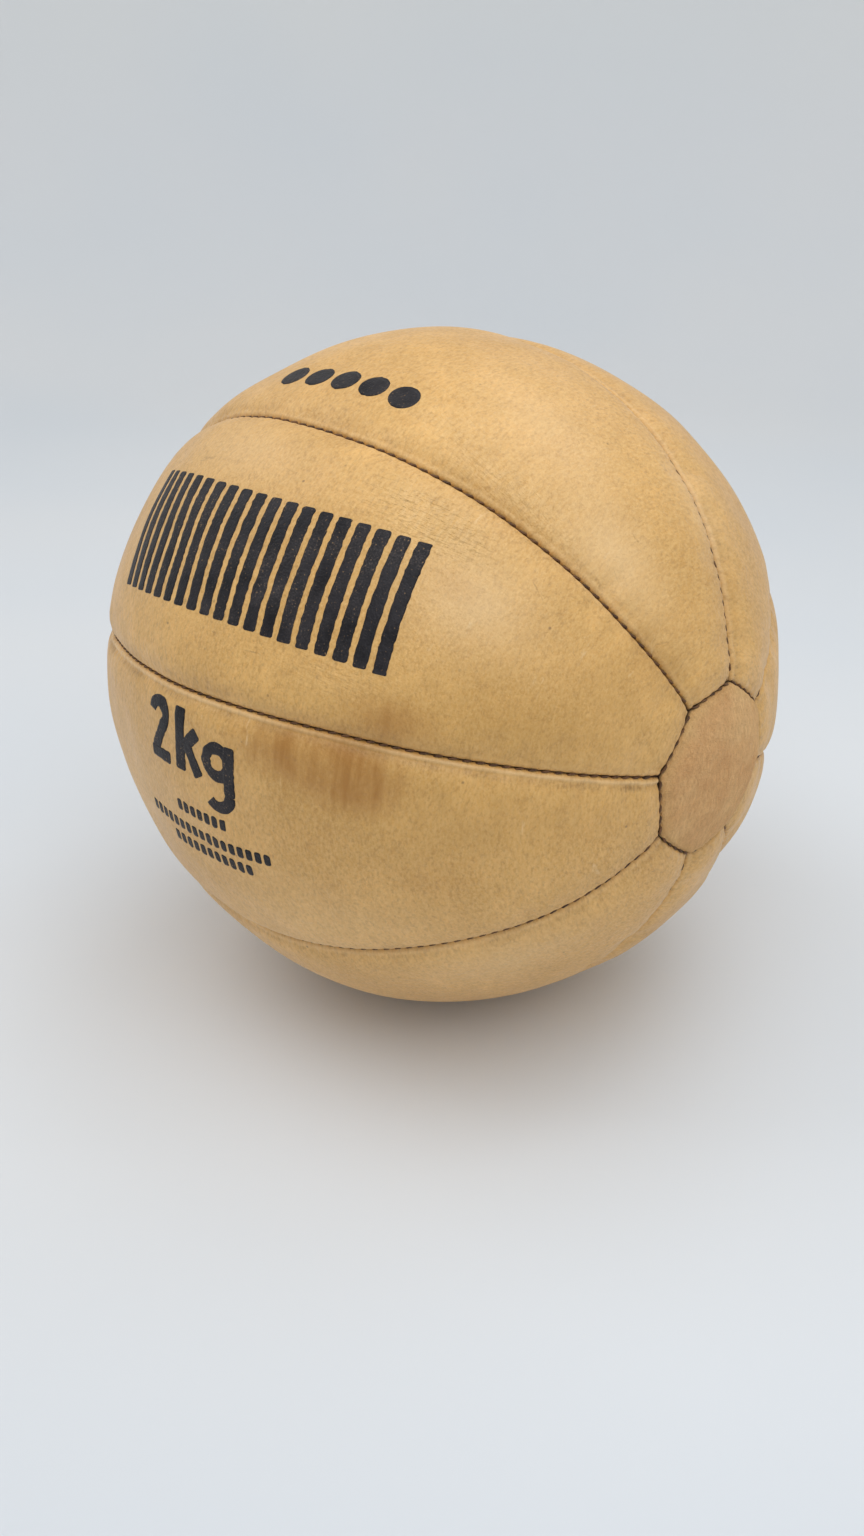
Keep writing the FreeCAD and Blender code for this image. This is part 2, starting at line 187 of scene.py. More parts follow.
def simulate_cover():
    """Blow up a slack cover that is held at its seams. Returns how far each point moves out."""
    turns = SIM_FIRST_SEAM + np.arange(SIM_ROUND) * WAVE / SIM_ROUND
    polars = np.arange(1, SIM_ROWS) * pi / SIM_ROWS
    grid = directions(*np.meshgrid(turns, polars)).reshape(-1, 3)
    points = np.vstack([grid, [[1, 0, 0], [-1, 0, 0]]]) * RADIUS * MM
    cover = make_mesh("cover_simulation", points, ball_faces(SIM_ROWS - 1, SIM_ROUND))

    sewn = cover.vertex_groups.new(name="sewn")
    border = np.arcsin(cap_reach(turns) / RADIUS) * SIM_ROWS / pi
    for column in range(SIM_ROUND):
        near = int(round(border[column])) - 1
        far = SIM_ROWS - 2 - near
        at_seam = column % (SIM_ROUND // PANELS) == 0
        rows = range(near, far + 1) if at_seam else (near, far)
        sewn.add([row * SIM_ROUND + column for row in rows], 1.0, "REPLACE")

    cloth = cover.modifiers.new("cloth", "CLOTH")
    for name, given in CLOTH.items():
        setattr(cloth.settings, name, given)
    cloth.settings.effector_weights.gravity = 0
    cloth.collision_settings.use_collision = False
    cloth.point_cache.frame_start = 1
    cloth.point_cache.frame_end = SIM_FRAMES
    for number in range(1, SIM_FRAMES + 1):
        bpy.context.scene.frame_set(number)
    blown = cover.evaluated_get(bpy.context.evaluated_depsgraph_get())
    moved = np.empty(len(points) * 3)
    blown.to_mesh().vertices.foreach_get("co", moved)
    blown.to_mesh_clear()
    bpy.data.meshes.remove(cover.data)
    out = np.linalg.norm(moved.reshape(-1, 3), axis=1) / MM - RADIUS
    out = np.clip(out, 0, PUFF_LIMIT)
    field = np.empty((SIM_ROWS + 1, SIM_ROUND))
    field[1:-1] = out[:-2].reshape(SIM_ROWS - 1, SIM_ROUND)
    field[0], field[-1] = out[-2], out[-1]
    return field


def cubic_weights(part):
    """Weights of four samples in a row, at this part of the way from the second to the third."""
    return np.stack([
        ((2 - part) * part - 1) * part / 2,
        ((3 * part - 5) * part * part + 2) / 2,
        ((4 - 3 * part) * part + 1) * part / 2,
        (part - 1) * part * part / 2,
    ])


COVER = simulate_cover()


def puff(turn, polar):
    """How far the stuffing pushes the cover out here."""
    across = np.mod(turn - SIM_FIRST_SEAM, WAVE) / WAVE * SIM_ROUND
    along = np.clip(polar / pi, 0, 1) * SIM_ROWS
    column, row = np.floor(across).astype(int), np.floor(along).astype(int)
    column_weights, row_weights = cubic_weights(across - column), cubic_weights(along - row)
    total = np.zeros(np.shape(across))
    for i in range(4):
        rows = np.clip(row + i - 1, 0, SIM_ROWS)
        for j in range(4):
            columns = (column + j - 1) % SIM_ROUND
            total += row_weights[i] * column_weights[j] * COVER[rows, columns]
    from_cap = (RADIUS * np.sin(polar) - CAP_FLAT) / FIRM_REACH
    return total * (FIRM_SHARE + (1 - FIRM_SHARE) * np.clip(from_cap, 0, 1))


# (turn, polar angle, degrees across, millimetres out): where the filling has packed and settled
SETTLING = [
    (108, 112, 32, -4.6),
    (143, 84, 30, -3.4),
    (50, 128, 34, 1.4),
    (-42, 60, 34, 1.3),
]
LUMPS = ((0.45, 85, 3), (0.16, 30, 4))  # size, wavelength and seed
FOOT_SOFTNESS = 1.2


def cover_radius(turn, polar):
    """Centre to the outside of the cover, before its seams draw it in."""
    normals = directions(turn, polar)
    radius = RADIUS + puff(turn, polar)
    for place_turn, place_polar, width, out in SETTLING:
        radius += out * bell(angle_between(normals, place_turn, place_polar), width)
    for size, wavelength, seed in LUMPS:
        radius += size * ripples(normals * RADIUS, wavelength, seed)
    return radius


def place(turn, polar, sunk):
    """Points of the cover, in metres, this deep under its surface, and flat over the floor."""
    radius = cover_radius(turn, polar) - sunk
    points = directions(turn, polar) * radius[..., None]
    height = points[..., 2] + CENTRE_HEIGHT - sunk
    points[..., 2] = sunk + FOOT_SOFTNESS * np.logaddexp(0, height / FOOT_SOFTNESS)
    return points * MM


# Seams

VALLEY_DEPTH = 1.0  # how far a seam draws the leather in, on both sides
VALLEY_WIDTH = 5.5
SCALLOP = 0.42  # how much deeper it is at a stitch
TUCK = 0.1  # how much the leather waves beside the stitches
GAPE = 0.13  # how far an edge draws back between two stitches
GATHER = 0.1  # depth of the gathers that run away from a seam
WANDER = ((1.5, 0.45), (3.5, 0.22), (7.5, 0.1))  # waves between the poles, and degrees
LIP_TOP = 1.2  # from a seam to the top of its lip
LIP_RISE = 0.4
LIP_PLACE = 2.7  # from a seam to the crease under its lip
LIP_CREASE = 0.26
AWL_PLACE = 1.9  # from a seam to its awl marks
AWL_DEPTH = 0.5
# Strength by panel and border: how sharply a lip is creased and how much it is painted lighter as
# a highlight, and awl marks along a seam.
# Borders 0 to 3 are the seam with the panel's own number, the other seam, and the right and left
# caps.
PLAIN_LIP = 0.15
CAP_LIP = 0.3
LIPS = {(3, 0): 1.0, (5, 1): 0.25, (6, 1): 0.4, (2, 0): 0.3}
AWL_MARKS = {(5, 0): 1.0, (4, 0): 0.25}


def seam_turn(seam, polar):
    """Turn of a seam, which wanders a little between the caps. Seam 0 is seam 8."""
    nominal = LOWEST - (seam - 0.5) * GORE
    draw = np.random.default_rng(70 + seam % PANELS)
    wander = np.zeros(np.shape(polar))
    for waves, size in WANDER:
        wander += radians(size) * np.sin(waves * polar + draw.uniform(0, WAVE))
    return nominal + wander * np.sin(polar) ** 2


def unevenness(along, seam):
    """Phase by which the stitches at this place run ahead."""
    return 0.7 * np.sin(along / 17 + seam % PANELS) + 0.4 * np.sin(along / 6.1)


def stitch_phase(along, seam):
    """Phase of the stitches at this distance along a seam."""
    return WAVE * along / (STITCH_STEP * RADIUS) + unevenness(along, seam)


def cap_phase(turn):
    """Phase of the stitches along a side of a cap."""
    return WAVE * CAP_FLAT * np.tan(from_side_middle(turn)) / CAP_PITCH


def edge_shape(distance, phase, lip, awl=0.0):
    """Depth beside a seam: the broad valley, the scallops at the stitches, the lip's crease."""
    pinch = 0.5 + 0.5 * np.cos(phase)
    valley = VALLEY_DEPTH * bell(distance, VALLEY_WIDTH)
    scallop = SCALLOP * pinch * bell(distance, 1.5)
    tuck = TUCK * np.cos(phase) * bell(distance - LIP_PLACE, 1.6)
    crease = LIP_CREASE * lip * bell(distance - LIP_PLACE, 0.7)
    rise = LIP_RISE * lip * bell(distance - LIP_TOP, 0.9)
    marks = AWL_DEPTH * awl * pinch ** 5 * bell(distance - AWL_PLACE, 0.55)
    return valley + scallop + tuck + crease - rise + marks


def gather(distance, along, seed):
    """Depth of the fine gathers that run away from a seam."""
    line = np.stack([along, distance * 0.25], axis=-1)
    gathers = ripples(line, 4.2, seed, count=6) + 0.7 * ripples(line, 9.0, seed + 1, count=5)
    patches = np.clip(0.35 + 0.5 * ripples(line, 60, seed + 2, count=4), 0, 1)
    return GATHER * gathers * patches * np.exp(-distance / 7.0) * (1 - np.exp(-distance / 1.5))


# Pairs of distance from a seam and depth: the outer face of a turned-in edge, and the inner one
OUTER_EDGE = [
    (0.05, FLANGE), (0.05, 3.2), (0.06, 2.3), (0.14, 1.62), (0.33, 1.05), (0.66, 0.58),
    (1.1, 0.26), (1.5, 0.1), (1.9, 0.02), (2.25, 0.0), (2.6, 0.0), (2.95, 0.0),
    (3.4, 0.0), (4.1, 0.0), (5.2, 0.0), (6.6, 0.0),
]
INNER_EDGE = [
    (1.7, FLANGE), (1.7, 3.9), (1.75, 3.3), (1.85, 2.85), (2.0, 2.5), (2.2, 2.2),
    (2.45, 1.9), (2.75, 1.6), (3.0, 1.45), (3.3, 1.35), (3.6, SKIVED), (3.9, SKIVED),
    (4.3, SKIVED), (4.9, SKIVED), (5.7, SKIVED), (6.8, SKIVED),
]
LINING_INSET = 3.4
LINING_DEPTH = THICKNESS + 0.15
LINING_EDGES = [
    [(LINING_INSET, depth), (LINING_INSET + 1, depth)]
    for depth in (LINING_DEPTH, LINING_DEPTH + CANVAS)
]
SKIVED_REACH = 8  # over which pared leather reaches its full thickness
PANEL_GRID = (50, 392)  # lines across and along the middle of a gore, between its edges
LINING_GRID = (20, 120)
CAP_RINGS = 40
CAP_ROUND = 24 * PANELS


def spread(edge, count):
    """Offsets, shares of the whole and depths of lines from one border to the other."""
    offsets = np.array([distance for distance, _ in edge])
    depths = np.array([depth for _, depth in edge])
    middle = np.arange(1, count + 1) / (count + 1)
    offset = np.concatenate([offsets, offsets[-1] * (1 - 2 * middle), -offsets[::-1]])
    share = np.concatenate([np.zeros(len(edge)), middle, np.ones(len(edge))])
    depth = np.concatenate([depths, np.full(count, depths[-1]), depths[::-1]])
    return offset, share, depth


def gore_grid(panel, edge, counts):
    """Turn, polar angle and depth of a grid over one face of a gore, drawn in by its seams."""
    offset_u, share_u, depth_u = spread(edge, counts[0])
    offset_v, share_v, depth_v = spread(edge, counts[1])
    shape = (len(share_v), len(share_u))
    polar = np.broadcast_to((pi * (0.08 + 0.84 * share_v))[:, None], shape)
    for _ in range(8):
        low, high = seam_turn(panel, polar), seam_turn(panel - 1, polar)
        turn = low + offset_u / (RADIUS * np.sin(polar)) + share_u * (high - low)
        near = np.arcsin(cap_reach(turn) / RADIUS)
        polar = near + offset_v[:, None] / RADIUS + share_v[:, None] * (pi - 2 * near)
    depth = np.maximum(depth_u[None, :], depth_v[:, None])
    return turn, polar, depth + gore_relief(panel, turn, polar)


def gore_borders(panel, turn, polar):
    """Distance, stitch phase, place along it, lip and awl marks of each border of a gore."""
    across = RADIUS * np.sin(polar)
    near = np.arcsin(cap_reach(turn) / RADIUS)
    along = RADIUS * (polar - pi / 2)
    round_cap = across * from_side_middle(turn)
    low, high = seam_turn(panel, polar), seam_turn(panel - 1, polar)
    borders = [
        (across * (turn - low), stitch_phase(along, panel), along),
        (across * (high - turn), stitch_phase(along, panel - 1), along),
        (RADIUS * (polar - near), cap_phase(turn), round_cap),
        (RADIUS * (pi - near - polar), cap_phase(turn), round_cap),
    ]
    return [(*border, LIPS.get((panel, number), PLAIN_LIP), AWL_MARKS.get((panel, number), 0.0))
            for number, border in enumerate(borders)]


def gore_relief(panel, turn, polar):
    """How deep the seams and gathers draw a gore in."""
    total = np.zeros(np.shape(turn))
    borders = gore_borders(panel, turn, polar)
    for number, (distance, phase, along, lip, awl) in enumerate(borders):
        total += edge_shape(distance, phase, lip, awl)
        total += gather(distance, along, seed=100 * panel + 10 * number)
    return total


def gape(panel, turn, polar):
    """Turn by which the edges of a gore draw back between its stitches."""
    pull = []
    for distance, phase, *_ in gore_borders(panel, turn, polar)[:2]:
        pull.append(GAPE * (0.5 - 0.5 * np.cos(phase)) * np.exp(-distance / 0.8))
    return (pull[0] - pull[1]) / (RADIUS * np.sin(polar))


def cap_grid(side, edge, rings):
    """Turn, polar angle, depth and distance from the border, over one face of a cap."""
    offsets = np.array([distance for distance, _ in edge])[::-1, None]
    depths = np.array([depth for _, depth in edge])[::-1]
    turn = ROLL + np.arange(CAP_ROUND) * WAVE / CAP_ROUND
    slant = np.cos(from_side_middle(turn))
    reach = cap_reach(turn)
    share = np.arange(1, rings + 1)[:, None] / (rings + 1)
    inner = share * (reach - offsets[0] / slant)
    from_axis = np.vstack([inner, reach - offsets / slant])
    polar = np.arcsin(from_axis / RADIUS)
    if side < 0:
        polar = pi - polar
    depth = np.concatenate([np.full(rings, depths[0]), depths])[:, None]
    turn = np.broadcast_to(turn, polar.shape)
    distance = (reach - from_axis) * slant
    return turn, polar, depth + cap_relief(side, turn, polar, distance), distance


def cap_relief(side, turn, polar, distance):
    """How deep the border and the puckers draw a cap in."""
    points = directions(turn, polar) * RADIUS
    puckers = 0.16 * ripples(points, 13, seed=31 + side) + 0.07 * ripples(points, 5, seed=33)
    fade = 1 - np.exp(-distance / 3)
    round_cap = RADIUS * np.sin(polar) * from_side_middle(turn)
    gathers = gather(distance, round_cap, seed=60 + side)
    crown = CAP_CROWN * (1 - np.exp(-distance / 9))
    return edge_shape(distance, cap_phase(turn), CAP_LIP) + fade * puckers + 1.4 * gathers - crown


def thicker(distance):
    """How much thicker the leather is at this distance from a border than where it is pared."""
    return (THICKNESS - SKIVED) * np.clip((distance - INNER_EDGE[-1][0]) / SKIVED_REACH, 0, 1)


def make_gore_shell(name, outer, inner):
    """A closed piece between two grids of turn, polar angle and depth."""
    rows, columns = outer[0].shape
    count = rows * columns
    points = np.vstack([place(*outer).reshape(-1, 3), place(*inner).reshape(-1, 3)])
    faces = grid_faces(rows, columns) + grid_faces(rows, columns, count)
    return make_mesh(name, points, faces + rim_faces(rows, columns, count))


def make_cap_shell(name, outer, inner, side):
    """A closed piece between two ring grids of turn, polar angle and depth round a pole."""
    rows, columns = outer[0].shape
    count = rows * columns
    pole = np.array([0.0 if side > 0 else pi])
    tips = [place(pole, pole, grid[2][:1].mean(axis=1)) for grid in (outer, inner)]
    points = np.vstack([place(*outer).reshape(-1, 3), place(*inner).reshape(-1, 3), *tips])
    faces = grid_faces(rows, columns, ring=True) + grid_faces(rows, columns, count, ring=True)
    faces += fan_faces(0, columns, 2 * count) + fan_faces(count, columns, 2 * count + 1)
    edge = count - columns
    for i in range(columns):
        after = (i + 1) % columns
        faces.append((edge + i, edge + after, edge + count + after, edge + count + i))
    return make_mesh(name, points, faces)


def add_values(piece, name, *grids):
    """Give each vertex a number for its material to read. Vertices left over get zero."""
    values = np.zeros(len(piece.data.vertices), dtype=np.float32)
    given = np.concatenate([np.ravel(grid) for grid in grids])
    values[:len(given)] = given
    piece.data.attributes.new(name, "FLOAT", "POINT").data.foreach_set("value", values)


def add_run(piece, turn, polar):
    """Give each vertex of the outer face its place along and across the gore, in metres."""
    values = np.zeros((len(piece.data.vertices), 3), dtype=np.float32)
    middle = turn.mean()
    values[:turn.size, 0] = np.ravel(polar) * RADIUS * MM
    values[:turn.size, 1] = np.ravel((turn - middle) * np.sin(polar)) * RADIUS * MM
    values[:turn.size, 2] = middle
    layer = piece.data.attributes.new("run", "FLOAT_VECTOR", "POINT")
    layer.data.foreach_set("vector", values.ravel())


def dress(piece, material, slot, *nodes):
    """Give a piece its material, and let it stand for its CAD nodes."""
    piece.data.materials.append(material)
    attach(piece, "root")
    if nodes:
        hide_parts(*nodes)


# (turn, polar angle, degrees along the gore, degrees across it, strength)
STAINS = [
    (81, 60, 6, 5.5, 1.0),
    (79, 68, 6, 5.0, 0.75),
    (79, 76, 6, 4.0, 0.5),
    (70, 57, 7, 4.0, 0.6),
    (86, 83, 5, 3.0, 0.3),
    (46, 55, 5, 4.0, 0.25),
    (5, 60, 6, 5.0, 0.2),
    (100, 50, 9, 6.0, 0.25),
    (-40, 110, 10, 7.0, 0.5),
    (-75, 60, 8, 6.0, 0.45),
    (-160, 100, 14, 8.0, 0.5),
    (-110, 75, 10, 6.0, 0.5),
]
# Lighter patches: some are wear, and those on the side seen from the camera are painted sheen.
RUBBED_AND_SHEEN = [
    (20, 39, 10, 9, 0.75),
    (11, 58, 12, 8, 0.45),
    (47, 52, 9, 8, 0.7),
    (38, 97, 12, 5, 0.45),
    (95, 106, 14, 12, 0.3),
    (112, 72, 20, 9, 0.4),
    (130, 45, 14, 9, 0.5),
    (-14, 40, 10, 8, 0.5),
    (-60, 100, 14, 8, 0.5),
    (-150, 70, 16, 9, 0.5),
]
# Darker, greener patches: some are oil, and those on the side seen from the camera are painted
# shade where the leather is lit less.
OILED_AND_SHADED = [
    (66, 38, 22, 9, 0.9),
    (87, 42, 26, 9, 0.8),
    (30, 24, 7, 9, 0.9),
    (50, 29, 9, 9, 0.7),
    (-10, 24, 8, 10, 0.5),
    (-30, 70, 18, 7, 0.6),
    (-100, 95, 20, 9, 0.7),
    (160, 90, 22, 9, 0.6),
]
CREASED = [
    (37, 65, 8, 4.5, 1.0),
    (38, 60, 6, 3.5, 0.9),
    (25, 57, 11, 3.5, 0.8),
    (22, 70, 9, 3.0, 0.5),
    (66, 66, 8, 3.0, 0.4),
    (-30, 95, 12, 5.0, 0.8),
    (-120, 60, 12, 6.0, 0.8),
    (170, 95, 14, 6.0, 0.8),
]


def patches(places, turn, polar):
    """Strength of soft patches on the ball."""
    total = np.zeros(np.shape(turn))
    for place_turn, place_polar, along, across, strength in places:
        apart = np.degrees(np.mod(turn - radians(place_turn) + pi, WAVE) - pi)
        reach = (apart / across) ** 2 + ((np.degrees(polar) - place_polar) / along) ** 2
        total += strength * np.exp(-reach)
    return np.clip(total, 0, 1)


def grime(panel, turn, polar):
    """Strength of the dirt that has gathered along the seams."""
    total = np.zeros(np.shape(turn))
    borders = gore_borders(panel, turn, polar)
    for number, (distance, phase, along, lip, awl) in enumerate(borders):
        line = np.stack([along, distance], axis=-1)
        uneven = np.clip(0.6 + 0.3 * ripples(line, 22, seed=7 * panel + number, count=8), 0, 1.2)
        total += uneven * 0.2 * np.exp(-distance / 3.5)
        total += uneven * 0.55 * lip * bell(distance - LIP_PLACE - 0.7, 1.1)
        total += 1.2 * awl * (0.5 + 0.5 * np.cos(phase)) ** 6 * bell(distance - AWL_PLACE, 0.45)
    return np.clip(total, 0, 1)


def lip_highlights(panel, turn, polar):
    """Strength of the painted highlights on the lips of the seams, where a raised lip catches the
    light.
    """
    total = np.zeros(np.shape(turn))
    for distance, _, _, lip, _ in gore_borders(panel, turn, polar):
        total += 0.9 * lip * bell(distance - 1.5, 0.8)
    return total


def make_panel(panel, material):
    turn, polar, sunk = gore_grid(panel, OUTER_EDGE, PANEL_GRID)
    outer = (turn + gape(panel, turn, polar), polar, sunk)
    inside_turn, inside_polar, inside_sunk = gore_grid(panel, INNER_EDGE, PANEL_GRID)
    nearest = np.min([b[0] for b in gore_borders(panel, inside_turn, inside_polar)], axis=0)
    inner = (inside_turn, inside_polar, inside_sunk + thicker(nearest))
    piece = make_gore_shell(f"leather_panel_{panel}", outer, inner)
    add_values(piece, "sunk", sunk, np.full(turn.shape, 1.0))
    add_values(piece, "back", np.zeros(turn.shape), np.ones(turn.shape))
    # The oiled patches carry painted shade as well as oil.
    for name, places in (("stain", STAINS), ("creased", CREASED), ("oiled_and_shaded", OILED_AND_SHADED)):
        add_values(piece, name, patches(places, turn, polar))
    # The lighter mask holds wear, painted sheen and the painted highlights on the lips.
    rubbed_and_sheen = patches(RUBBED_AND_SHEEN, turn, polar) + lip_highlights(panel, turn, polar)
    add_values(piece, "rubbed_and_sheen", np.clip(rubbed_and_sheen, 0, 1))
    add_values(piece, "grime", grime(panel, turn, polar))
    add_run(piece, turn, polar)
    dress(piece, material, "panel_leather", f"panel_{panel}")


def make_lining(panel, material):
    faces = [gore_grid(panel, edge, LINING_GRID) for edge in LINING_EDGES]
    piece = make_gore_shell(f"canvas_lining_{panel}", *faces)
    dress(piece, material, "canvas", f"lining_{panel}")


def make_cap(side, name, material):
    turn, polar, sunk, distance = cap_grid(side, OUTER_EDGE, CAP_RINGS)
    inside_turn, inside_polar, inside_sunk, inside = cap_grid(side, INNER_EDGE, CAP_RINGS)
    inner = (inside_turn, inside_polar, inside_sunk + thicker(inside))
    piece = make_cap_shell(f"leather_cap_{name}", (turn, polar, sunk), inner, side)
    add_values(piece, "sunk", sunk, np.full(turn.shape, 1.0))
    add_values(piece, "rim", distance, np.full(turn.shape, 20.0))
    dress(piece, material, "cap_leather", f"end_cap_{name}")


def make_cap_lining(side, name, material):
    faces = [cap_grid(side, edge, CAP_RINGS // 2)[:3] for edge in LINING_EDGES]
    piece = make_cap_shell(f"canvas_cap_lining_{name}", *faces, side)
    dress(piece, material, "canvas", f"cap_lining_{name}")


FILLING_DEPTH = LINING_DEPTH + CANVAS + 0.45
FILLING_ROWS, FILLING_ROUND = 150, 240


def make_filling(material):
    """The hair, which fills the cover and ends under the turned-in edges of the seams."""
    turns = np.arange(FILLING_ROUND) * WAVE / FILLING_ROUND
    polars = np.arange(1, FILLING_ROWS + 1) * pi / (FILLING_ROWS + 1)
    turn, polar = np.meshgrid(turns, polars)
    nearest = np.full(turn.shape, RADIUS)
    for seam in range(PANELS):
        apart = np.mod(turn - seam_turn(seam, polar) + pi, WAVE) - pi
        nearest = np.minimum(nearest, np.abs(apart) * RADIUS * np.sin(polar))
    rim = np.abs(RADIUS * np.sin(polar) - cap_reach(turn))
    in_cap = RADIUS * np.sin(polar) < cap_reach(turn)
    nearest = np.where(in_cap, rim, np.minimum(nearest, rim))
    lumps = 0.4 + 0.18 * ripples(directions(turn, polar) * RADIUS, 9, seed=51)
    sunk = FILLING_DEPTH + 1.4 * bell(nearest, VALLEY_WIDTH) + 2.2 * bell(nearest, 5) + lumps
    poles = place(np.zeros(2), np.array([0, pi]), np.full(2, FILLING_DEPTH + 0.5))
    points = np.vstack([place(turn, polar, sunk).reshape(-1, 3), poles])
    piece = make_mesh("hair_filling", points, ball_faces(FILLING_ROWS, FILLING_ROUND))
    dress(piece, material, "hair", "hair_filling")


# Stitches

THREAD_SIDES = 8
THREAD_STEPS = 13
MACHINE = dict(half_length=1.8, slant=0.5, sunk=1.95, dip=0.6)
MACHINE_RADIUS = 0.42
HAND = dict(half_length=1.5, slant=1.5, sunk=1.35, dip=1.1)
HAND_RADIUS = 0.62


def make_thread(name, stitches, radius, material, slot, *nodes):
    """A piece of many short stitches, each a twisted thread along a path of points in metres."""
    points, faces = [], []
    centre = np.array([0, 0, CENTRE_HEIGHT * MM])
    angles = np.arange(THREAD_SIDES) * WAVE / THREAD_SIDES
    steps = np.arange(THREAD_STEPS)
    from_end = np.clip(np.minimum(steps, steps[::-1]) / 3, 0, 1)
    width = radius * MM * np.sqrt(np.clip(1 - (1 - from_end) ** 2, 0.12, 1))
    twist = 1 + 0.13 * np.cos(2 * (angles[None, :] - 0.5 * steps[:, None]))
    for number, path in enumerate(stitches):
        ahead = np.gradient(path, axis=0)
        ahead /= np.linalg.norm(ahead, axis=1)[:, None]
        aside = np.cross(ahead, path - centre)
        aside /= np.linalg.norm(aside, axis=1)[:, None]
        up = np.cross(aside, ahead)
        ring = np.cos(angles)[:, None] * aside[:, None] + np.sin(angles)[:, None] * up[:, None]
        points.append(path[:, None] + ring * (width[:, None] * twist)[..., None])
        start = number * THREAD_STEPS * THREAD_SIDES
        last = start + (THREAD_STEPS - 1) * THREAD_SIDES
        faces += grid_faces(THREAD_STEPS, THREAD_SIDES, start, ring=True)
        faces += [list(range(end, end + THREAD_SIDES)) for end in (start, last)]
    piece = make_mesh(name, np.concatenate(points).reshape(-1, 3), faces)
    dress(piece, material, slot, *nodes)


def stitch_places(seam):
    """Numbers of a seam's stitches, from its middle, and their distances along it."""
    number = np.arange(STITCHES) - STITCHES // 2
    along = STITCH_STEP * RADIUS * number
    for _ in range(4):
        along = STITCH_STEP * RADIUS * (number - unevenness(along, seam) / WAVE)
    return number, along


def seam_stitch(seam, middle, half_length, slant, sunk, dip):
    """Path of one stitch over a seam."""
    part = np.linspace(-1, 1, THREAD_STEPS)
    polar = pi / 2 + (middle + part * half_length) / RADIUS
    turn = seam_turn(seam, polar) + slant * part / (RADIUS * np.sin(polar))
    return place(turn, polar, sunk + dip * np.abs(part) ** 3)


def cap_stitch(side, corner, middle, half_length, slant, sunk, dip):
    """Path of one stitch over a side of a cap."""
    part = np.linspace(-1, 1, THREAD_STEPS)
    turn = ROLL + corner * GORE + np.arctan((middle + part * half_length) / CAP_FLAT)
    polar = np.arcsin((cap_reach(turn) + slant * part) / RADIUS)
    return place(turn, polar if side > 0 else pi - polar, sunk + dip * np.abs(part) ** 3)


def make_stitches(thread, closing_thread):
    for seam in range(1, PANELS + 1):
        stitches = []
        for number, along in zip(*stitch_places(seam)):
            if seam != CLOSING_SEAM or abs(number) >= CLOSING_STITCHES:
                stitches.append(seam_stitch(seam, along, **MACHINE))
        make_thread(f"seam_stitches_{seam}", stitches, MACHINE_RADIUS, thread,
                    "sewing_thread", f"seam_thread_{seam}")
    for side, name in ((1, "right"), (-1, "left")):
        stitches = []
        for corner in range(PANELS):
            for number in range(CAP_STITCHES):
                middle = (number - CAP_STITCHES // 2) * CAP_PITCH
                stitches.append(cap_stitch(side, corner, middle, **MACHINE))
        make_thread(f"cap_stitches_{name}", stitches, MACHINE_RADIUS, thread,
                    "sewing_thread", f"cap_thread_{name}")
    stitches = []
    for number, along in zip(*stitch_places(CLOSING_SEAM)):
        if abs(number) < CLOSING_STITCHES and number % 2 == 0:
            stitches.append(seam_stitch(CLOSING_SEAM, along, **HAND))
    make_thread("hand_closing_stitches", stitches, HAND_RADIUS, closing_thread,
                "closing_thread", "closing_thread")


# Prints: plain shapes of thin ink on the leather. A print's own coordinates are millimetres to
# the right and up, seen from the front.

INK_LIFT = 0.07  # over the leather
INK_OVERLAP = 0.012  # how much higher one stroke lies than the last, so crossings are clean
INK_ROOT = 0.4  # down into the leather
INK_STEP = 0.8  # along a stroke
INK_COLUMNS = 7  # points across it


def bar(x, y, to_x, to_y, width, corner=0.9):
    """Centre line and half widths of a straight bar with rounded corners."""
    length = sqrt((to_x - x) ** 2 + (to_y - y) ** 2)
    steps = max(int(length / INK_STEP), 8)
    part = 0.5 - 0.5 * np.cos(np.linspace(0, pi, steps + 1))
    line = np.stack([x + (to_x - x) * part, y + (to_y - y) * part], axis=-1)
    short = np.clip(corner - np.minimum(part, 1 - part) * length, 0, corner)
    return line, width / 2 - corner + np.sqrt(corner ** 2 - short ** 2) + 0.03


def arc(x, y, radius, start, end, width):
    """Centre line and half widths of a piece of a ring."""
    steps = max(int(abs(radians(end - start)) * radius / INK_STEP), 8)
    angle = np.radians(np.linspace(start, end, steps + 1))
    line = np.stack([x + radius * np.cos(angle), y + radius * np.sin(angle)], axis=-1)
    return line, np.full(steps + 1, width / 2)


def dot(x, y, radius):
    return bar(x - radius, y, x + radius, y, 2 * radius, corner=radius - 0.05)


def make_print(name, panel, turn, polar, strokes, material):
    """Print strokes on a panel, from an origin at this turn and polar angle, in degrees."""
    points, faces = [], []
    start = 0
    for number, (line, half) in enumerate(strokes):
        ahead = np.gradient(line, axis=0)
        ahead /= np.linalg.norm(ahead, axis=1)[:, None]
        aside = np.stack([-ahead[:, 1], ahead[:, 0]], axis=-1)
        ragged = 0.1 * ripples(line, 2.6, seed=number) + 0.06 * ripples(line, 9, seed=number + 90)
        half = np.clip(half + ragged * np.minimum(half, 1), 0.03, None)
        share = np.linspace(-1, 1, INK_COLUMNS)
        flat = line[:, None] + (half[:, None] * share)[..., None] * aside[:, None]
        along = radians(polar) - flat[..., 0] / RADIUS
        around = radians(turn) - flat[..., 1] / (RADIUS * np.sin(along))
        sunk = gore_relief(panel, around, along)
        lift = INK_LIFT + INK_OVERLAP * (number % 3)
        for depth in (sunk - lift, sunk + INK_ROOT):
            points.append(place(around, along, depth).reshape(-1, 3))
        rows, columns = sunk.shape
        count = rows * columns
        faces += grid_faces(rows, columns, start) + grid_faces(rows, columns, start + count)
        faces += [[start + corner for corner in face] for face in rim_faces(rows, columns, count)]
        start += 2 * count
    piece = make_mesh(name, np.vstack(points), faces)
    dress(piece, material, "panel_leather")


